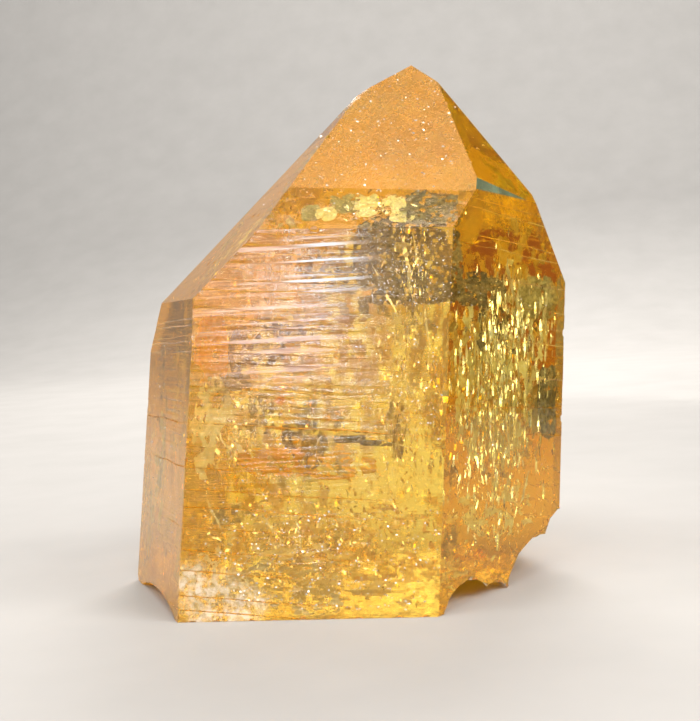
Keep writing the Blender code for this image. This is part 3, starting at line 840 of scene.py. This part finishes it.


# Healed cracks inside, and dark smoke sheets that are partly painted shade, where dark
# surroundings show through the crystal, as seen in the photograph: middle, half size, depth in
# millimetres, turn from facing the viewer in degrees (about up, about across), tone, level
# of noise that leaves a hole, how much the lace is drawn out along the crystal, fineness
VEILS = (
    ((404, 262), (52, 44), 2.2, (6, -6), "smoke", -0.5, 1.0, 3.0),
    ((372, 238), (22, 16), 1.6, (0, 0), "smoke", -0.2, 1.0, 2.4),
    ((326, 266), (34, 24), 2.6, (0, 0), "smoke", 0.02, 1.0, 2.4),
    ((262, 340), (30, 26), 5.0, (-30, 20), "smoke", -0.1, 0.6, 1.7),
    ((232, 378), (26, 30), 7.0, (20, 28), "olive", 0.02, 0.6, 1.2),
    ((305, 440), (24, 22), 5.0, (10, -30), "smoke", -0.1, 1.0, 1.7),
    ((350, 439), (17, 4), 1.2, (0, 0), "smoke", -0.7, 1.0, 1.6),
    ((376, 443), (17, 3), 1.2, (0, 0), "smoke", -0.7, 1.0, 1.6),
    ((312, 453), (14, 17), 1.0, (0, 0), "umber", -0.3, 1.0, 2.0),
    ((240, 352), (11, 30), 1.2, (0, 0), "umber", -0.2, 1.0, 2.0),
    ((300, 333), (38, 13), 1.4, (0, 0), "umber", 0.0, 0.4, 2.0),
    ((232, 383), (17, 8), 1.0, (0, 0), "umber", -0.3, 1.0, 2.0),
    ((260, 414), (20, 20), 2.0, (0, 0), "umber", -0.08, 1.0, 1.7),
    ((399, 430), (7, 30), 1.2, (0, 0), "umber", 0.0, 2.0, 2.0),
    ((211, 352), (17, 34), 1.0, (0, 0), "orange", -0.6, 1.0, 1.4),
    ((282, 462), (46, 15), 1.6, (0, 0), "orange", -0.3, 1.0, 1.4),
    ((340, 466), (36, 14), 1.4, (0, 0), "orange", -0.2, 1.0, 1.4),
    ((214, 428), (26, 50), 1.4, (0, 0), "cream", -0.08, 2.0, 1.2),
    ((252, 483), (5, 8), 0.6, (0, 0), "gleam", -0.46, 1.0, 1.0),
    ((214, 380), (9, 8), 0.7, (0, 0), "gleam", -0.46, 1.0, 1.0),
    ((396, 425), (12, 34), 6.0, (34, 8), "olive", 0.0, 1.5, 1.2),
    ((330, 350), (70, 50), 9.0, (-18, 34), "amber", 0.05, 1.0, 1.2),
    ((482, 290), (46, 18), 1.2, (51, 0), "smoke", -0.5, 1.5, 2.4),
    ((538, 298), (40, 22), 1.6, (51, 0), "olive", -0.5, 1.5, 1.6),
    ((505, 320), (84, 34), 2.4, (51, 0), "smoke", 0.1, 3.0, 1.5),
    ((500, 350), (84, 60), 3.0, (48, 4), "cream", 0.04, 3.0, 1.4),
    ((500, 400), (84, 70), 4.5, (50, 4), "honey", -0.1, 2.5, 1.0),
    ((505, 430), (70, 50), 6.0, (44, 14), "amber", 0.1, 2.0, 1.2),
    ((547, 402), (18, 36), 1.4, (51, 0), "smoke", -0.6, 1.0, 1.7),
    ((428, 208), (30, 24), 0.9, (0, -43), "smoke", -0.5, 1.0, 2.6),
    ((344, 204), (14, 14), 1.1, (0, -43), "olive", -0.5, 1.0, 2.0),
    ((311, 213), (10, 12), 1.1, (0, -43), "olive", -0.5, 1.0, 2.0),
    ((326, 214), (11, 11), 0.5, (0, -43), "gleam", -0.46, 1.0, 1.0),
    ((366, 206), (14, 18), 0.5, (0, -43), "gleam", -0.46, 1.0, 1.0),
    ((393, 204), (13, 14), 0.5, (0, -43), "gleam", -0.46, 1.0, 1.0),
    ((402, 216), (14, 10), 0.5, (0, -43), "gleam", -0.46, 1.0, 1.0),
    ((161, 385), (12, 44), 1.0, (-69, 0), "smoke", 0.0, 3.0, 1.7),
    ((158, 470), (40, 62), 1.5, (-69, 0), "honey", 0.0, 3.0, 1.4),
    ((163, 425), (16, 62), 1.0, (-69, 0), "olive", 0.0, 4.0, 1.4),
    ((148, 505), (30, 60), 0.8, (-69, 0), "amber", -0.1, 4.0, 1.7),
    ((226, 515), (30, 10), 2.5, (24, -34), "olive", 0.0, 1.0, 1.2),
    ((330, 578), (130, 34), 2.6, (4, 0), "honey", -0.05, 1.0, 1.4),
    ((360, 540), (90, 40), 4.5, (-6, 8), "amber", 0.12, 1.0, 1.8),
    ((320, 520), (100, 26), 8.0, (8, -52), "honey", 0.0, 1.0, 1.0),
    ((350, 575), (90, 26), 6.0, (-12, -44), "honey", 0.0, 1.0, 1.0),
    ((250, 420), (60, 60), 11.0, (-24, -30), "honey", 0.02, 1.0, 1.0),
    ((500, 500), (70, 40), 6.0, (40, -20), "honey", 0.02, 1.5, 1.0),
    ((500, 360), (80, 100), 8.0, (40, 6), "honey", 0.02, 2.5, 1.0),
    ((340, 300), (60, 40), 12.0, (30, 30), "honey", 0.05, 1.0, 1.0),
    ((212, 592), (46, 30), 0.5, (0, 0), "frost", -0.06, 1.0, 1.6),
    ((248, 560), (60, 26), 1.2, (10, 10), "frost", 0.14, 1.0, 1.6),
    ((300, 600), (50, 14), 0.8, (-6, 0), "frost", 0.1, 1.0, 1.6),
)

# Rows in a sheet, its lace, the level at which it counts as whole, and its bends
VEIL_STEPS = 56
LACE_SCALE = 620.0
SOLID = -0.5
VEIL_GAP = 0.2 * MM
VEIL_JITTER = 0.35
LARGEST_BEND = 2.4 * MM
BEND_SHARE = 0.3

# Sheets all round: count, level of noise that leaves a hole, and height
SPREAD_VEILS = 26
SPREAD_OPEN = 0.06
SPREAD_VEIL_TOP = 0.037

# Colours of the sheets, from dark to light
TONES = {
    # Smoke: dark sheets, partly inclusion and partly painted shade where dark surroundings show through
    "smoke": ((0.13, 0.10, 0.06), (0.42, 0.35, 0.24)),
    "umber": ((0.26, 0.19, 0.07), (0.58, 0.45, 0.20)),
    "olive": ((0.38, 0.33, 0.18), (0.70, 0.62, 0.36)),
    "amber": ((0.72, 0.48, 0.17), (0.98, 0.78, 0.38)),
    "orange": ((1.0, 0.58, 0.05), (1.0, 0.74, 0.14)),
    "honey": ((0.94, 0.80, 0.42), (1.0, 0.94, 0.68)),
    "cream": ((1.0, 0.93, 0.55), (1.0, 1.0, 0.82)),
    "gleam": ((1.0, 0.90, 0.50), (1.0, 0.98, 0.76)),
    "frost": ((0.90, 0.88, 0.84), (1.0, 1.0, 1.0)),
}


def veil_material(tone):
    low, high = TONES[tone]
    made = Nodes("veil_" + tone)
    where = made.place(scale=IN_MM)
    colour = made.ramp(made.cloud(where, 1.6, 7.0, 0.75), ((0.38, low), (0.62, high)))
    height = made.cloud(where, 2.5, 5.0)
    made.set(color=colour, roughness=0.3, normal=made.bump(height, 0.6, 0.0003))
    if tone == "gleam":
        made.set(metallic=0.6, roughness=0.5)
    return made.material


def lacy_sheet(mesh, rng, inside_by, centre, turn, half, tone_index, opened, drawn, fine):
    """Curved sheet with a ragged rim and holes, as a healed crack has."""
    across, up, out = turn.col
    shift = Vector([rng.uniform(-50.0, 50.0) for _ in range(3)])
    bend = min(LARGEST_BEND, BEND_SHARE * max(half))
    grid = {}
    for row in range(VEIL_STEPS + 1):
        for column in range(VEIL_STEPS + 1):
            u = (column + rng.uniform(-VEIL_JITTER, VEIL_JITTER)) / VEIL_STEPS * 2.0 - 1.0
            v = (row + rng.uniform(-VEIL_JITTER, VEIL_JITTER)) / VEIL_STEPS * 2.0 - 1.0
            rim = 1.0 + 0.5 * noise.noise(Vector((u, v, 0.0)) * 1.4 + shift)
            squareness = 4 if opened <= SOLID else 2
            if abs(u) ** squareness + abs(v) ** squareness > rim:
                continue
            point = centre + across * half[0] * u + up * half[1] * v
            point += out * bend * noise.noise(Vector((u * 1.2, v * 1.2, 0.0)) + shift)
            point += out * bend * 0.2 * noise.noise(Vector((u * 5.0, v * 5.0, 1.0)) + shift)
            level = LONG_AXIS * LONG_AXIS.dot(point)
            stretched = ((point - level) + level / drawn) * LACE_SCALE * fine
            lace = noise.fractal(stretched + shift, 0.55, 2.1, 6)
            if lace > opened and inside_by(point, VEIL_GAP):
                grid[row, column] = mesh.verts.new(point)
    for row in range(VEIL_STEPS):
        for column in range(VEIL_STEPS):
            keys = ((row, column), (row, column + 1), (row + 1, column + 1), (row + 1, column))
            corners = [grid[key] for key in keys if key in grid]
            if len(corners) >= 3:
                face = mesh.faces.new(corners)
                face.material_index = tone_index


# Thin bright feathers and scratches, as seen in the photograph: both ends, depth and
# width in millimetres
FEATHERS = (
    ((216, 402), (292, 332), 1.2, 0.45),
    ((236, 404), (306, 352), 1.6, 0.35),
    ((226, 372), (262, 330), 1.0, 0.3),
    ((228, 436), (262, 476), 1.4, 0.7),
    ((214, 424), (252, 486), 1.8, 0.5),
    ((296, 468), (322, 436), 1.4, 0.5),
    ((206, 498), (222, 530), 1.0, 0.4),
    ((262, 514), (280, 546), 1.0, 0.35),
    ((296, 520), (302, 552), 1.0, 0.35),
    ((402, 236), (412, 292), 0.9, 0.7),
    ((414, 232), (420, 276), 1.2, 0.4),
    ((372, 262), (398, 318), 1.0, 0.3),
    ((424, 300), (430, 352), 1.0, 0.3),
    ((198, 352), (348, 366), 0.12, 0.07),
    ((204, 386), (352, 404), 0.12, 0.09),
    ((240, 372), (330, 380), 0.12, 0.06),
    ((352, 432), (436, 454), 0.12, 0.09),
    ((206, 420), (286, 430), 0.12, 0.06),
    ((510, 256), (513, 300), 0.9, 0.6),
    ((505, 270), (522, 318), 1.4, 0.4),
    ((548, 292), (541, 338), 0.8, 0.6),
    ((474, 318), (480, 372), 1.2, 0.4),
    ((494, 330), (500, 392), 1.2, 0.4),
    ((516, 350), (520, 400), 1.0, 0.4),
    ((528, 352), (524, 420), 1.2, 0.4),
    ((486, 396), (492, 448), 1.0, 0.4),
    ((506, 412), (510, 462), 1.0, 0.4),
    ((530, 470), (520, 505), 0.8, 0.6),
    ((150, 400), (154, 460), 0.9, 0.3),
    ((160, 440), (164, 500), 1.1, 0.25),
)
FEATHER_STEPS = 18


def add_feathers(find):
    """Tapering ribbons that wander a little between their two ends."""
    rng = random.Random(SEED + 5)
    mesh = bmesh.new()
    for start, end, depth, width in FEATHERS:
        line = Vector(end) - Vector(start)
        across = Vector((-line.y, line.x)).normalized()
        sideways = (RIGHT * across.x - UP * across.y).normalized()
        shift = rng.uniform(0.0, 90.0)
        row = []
        for step in range(FEATHER_STEPS + 1):
            share = step / FEATHER_STEPS
            bow = noise.noise(Vector((share * 2.2, shift, 0.0))) * min(width, 0.5) * 9.0
            spot = Vector(start) + line * share + across * bow
            middle = find(spot.x, spot.y, depth * MM)
            swell = math.sin(math.pi * (0.06 + 0.88 * share))
            half = 0.5 * width * MM * swell * rng.uniform(0.35, 1.0)
            if middle is None:
                row = []
                continue
            lean = BACK * half * noise.noise(Vector((share * 6.0, shift, 5.0)))
            first = mesh.verts.new(middle - sideways * half)
            pair = (first, mesh.verts.new(middle + sideways * half + lean))
            if row:
                mesh.faces.new((row[0], row[1], pair[1], pair[0]))
            row = pair
    loose = [vertex for vertex in mesh.verts if not vertex.link_faces]
    bmesh.ops.delete(mesh, geom=loose, context="VERTS")
    data = bpy.data.meshes.new("inner_feathers")
    mesh.to_mesh(data)
    mesh.free()
    feathers = link(bpy.data.objects.new("inner_feathers", data))
    data.materials.append(flake_material("feather_gold", (1.0, 0.93, 0.70), (1.0, 0.99, 0.9), 0.35))
    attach(feathers, "root")
    print("inner_feathers faces", len(data.polygons))


def add_veils(find, inside_by):
    rng = random.Random(SEED + 2)
    tones = list(TONES)
    mesh = bmesh.new()
    facing = Matrix((RIGHT, UP, BACK)).transposed()
    for middle, half, depth, turns, tone, opened, drawn, fine in VEILS:
        centre = find(middle[0], middle[1], depth * MM)
        if centre is None:
            continue
        scale = (centre - CAMERA_PLACE).length / FOCAL_PX
        about_up = Matrix.Rotation(math.radians(turns[0]), 3, UP)
        about_right = Matrix.Rotation(math.radians(turns[1]), 3, RIGHT)
        turn = about_up @ about_right @ facing
        size = (half[0] * scale, half[1] * scale)
        lacy_sheet(mesh, rng, inside_by, centre, turn, size, tones.index(tone), opened, drawn, fine)
    low, high = [Vector(corner) for corner in CAD_BOX]
    placed = 0
    while placed < SPREAD_VEILS:
        centre = Vector([rng.uniform(low[axis], high[axis]) for axis in range(3)])
        if centre.z > SPREAD_VEIL_TOP or not inside_by(centre, 2.0 * MM):
            continue
        turn = Euler([rng.uniform(0.0, math.pi) for _ in range(3)]).to_matrix()
        size = (rng.uniform(4.0, 10.0) * MM, rng.uniform(3.0, 8.0) * MM)
        tone = tones.index(rng.choice(("honey", "honey", "honey", "olive")))
        lacy_sheet(mesh, rng, inside_by, centre, turn, size, tone, SPREAD_OPEN, 1.6, 1.0)
        placed += 1
    loose = [vertex for vertex in mesh.verts if not vertex.link_faces]
    bmesh.ops.delete(mesh, geom=loose, context="VERTS")
    data = bpy.data.meshes.new("inner_veils")
    mesh.to_mesh(data)
    mesh.free()
    veils = link(bpy.data.objects.new("inner_veils", data))
    for tone in tones:
        data.materials.append(veil_material(tone))
    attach(veils, "root")
    print("inner_veils faces", len(data.polygons))


def pale_paper():
    made = Nodes("pale_paper")
    where = made.place(scale=IN_MM)
    tone = made.cloud(where, 0.05, 4.0)
    colour = made.ramp(tone, ((0.3, (0.40, 0.395, 0.385)), (0.7, (0.43, 0.425, 0.415))))
    grain = made.cloud(where, 2.5, 4.0)
    made.set(color=colour, roughness=0.75, normal=made.bump(grain, 0.05, 0.0001))
    return made.material


def studio_sweep():
    """Floor, a hair below the crystal's foot, that curves up into a backdrop."""
    width = 2.4
    near = -1.0
    floor = -0.00003
    bend_steps = 16
    bend_start = 0.45
    radius = 0.45
    top = 1.6
    profile = [(near, floor), (bend_start, floor)]
    for step in range(1, bend_steps + 1):
        turn = math.pi / 2 * step / bend_steps
        rise = floor + radius * (1.0 - math.cos(turn))
        profile.append((bend_start + radius * math.sin(turn), rise))
    profile.append((bend_start + radius, top))
    mesh = bmesh.new()
    rows = []
    for depth, height in profile:
        row = [mesh.verts.new((side * width / 2, depth, height)) for side in (-1, 1)]
        rows.append(row)
    for lower, upper in zip(rows, rows[1:]):
        mesh.faces.new((lower[0], lower[1], upper[1], upper[0]))
    data = bpy.data.meshes.new("studio_sweep")
    for face in mesh.faces:
        face.smooth = True
    mesh.to_mesh(data)
    mesh.free()
    sweep = link(bpy.data.objects.new("studio_sweep", data))
    data.materials.append(pale_paper())


def dark_flag(name, azimuth_deg, distance, width, height):
    """Dark board beside the crystal, hidden from the camera, that deepens a side's reflection."""
    azimuth = math.radians(azimuth_deg)
    away = Vector((math.sin(azimuth), -math.cos(azimuth), 0.0))
    along = Vector((0.0, 0.0, 1.0)).cross(away)
    mesh = bmesh.new()
    corners = []
    for side, rise in ((-1, 0), (1, 0), (1, 1), (-1, 1)):
        place = away * distance + along * side * width / 2 + Vector((0, 0, rise * height))
        corners.append(mesh.verts.new(place))
    mesh.faces.new(corners)
    data = bpy.data.meshes.new(name)
    mesh.to_mesh(data)
    mesh.free()
    flag = link(bpy.data.objects.new(name, data))
    made = Nodes(name)
    tone = made.cloud(made.place(scale=IN_MM), 0.8, 4.0)
    colour = made.ramp(tone, ((0.3, (0.012, 0.011, 0.01)), (0.7, (0.02, 0.019, 0.017))))
    made.set(color=colour, roughness=0.95)
    data.materials.append(made.material)
    flag.visible_camera = False


def soft_light(name, place, size, power, colour, aim=MIDDLE):
    """Area light at a place given as azimuth, elevation and distance, aimed at a point."""
    data = bpy.data.lights.new(name, "AREA")
    data.shape = "RECTANGLE"
    data.size = size[0]
    data.size_y = size[1]
    data.energy = power
    data.color = colour
    light = link(bpy.data.objects.new(name, data))
    light.location = light_place(place)
    light.rotation_euler = (light.location - aim).to_track_quat("Z", "Y").to_euler()


def add_lights():
    world = bpy.data.worlds.new("studio_air")
    world.use_nodes = True
    bpy.context.scene.world = world
    air = world.node_tree.nodes["Background"]
    air.inputs["Color"].default_value = (0.9, 0.88, 0.85, 1.0)
    air.inputs["Strength"].default_value = 0.4
    for name, (place, size, power, colour) in LIGHTS.items():
        soft_light(name, place, size, power, colour)
    soft_light("backdrop", (182.0, 62.0, 0.70), (0.9, 0.3), 4.5, WARM, Vector((0.0, 0.9, 0.35)))


def cycles_settings():
    cycles = bpy.context.scene.cycles
    cycles.max_bounces = 12
    cycles.transmission_bounces = 10
    cycles.glossy_bounces = 8
    cycles.diffuse_bounces = 3
    cycles.transparent_max_bounces = 12
    cycles.volume_bounces = 0
    cycles.caustics_reflective = True
    cycles.caustics_refractive = True
    cycles.sample_clamp_indirect = 12.0
    cycles.blur_glossy = 0.6
    view = bpy.context.scene.view_settings
    view.view_transform = "Standard"
    view.look = "None"
    view.exposure = 0.0


add_camera()
cycles_settings()
add_lights()
studio_sweep()
dark_flag("flag_right", FLAG_AZIMUTH_DEG, FLAG_DISTANCE, FLAG_WIDTH, FLAG_HEIGHT)
find_inside, is_inside, mirror_way_of = depth_finder()
crystal_body(find_inside)
add_flakes(find_inside, is_inside, mirror_way_of)
add_veils(find_inside, is_inside)
add_feathers(find_inside)
add_glints(find_inside)
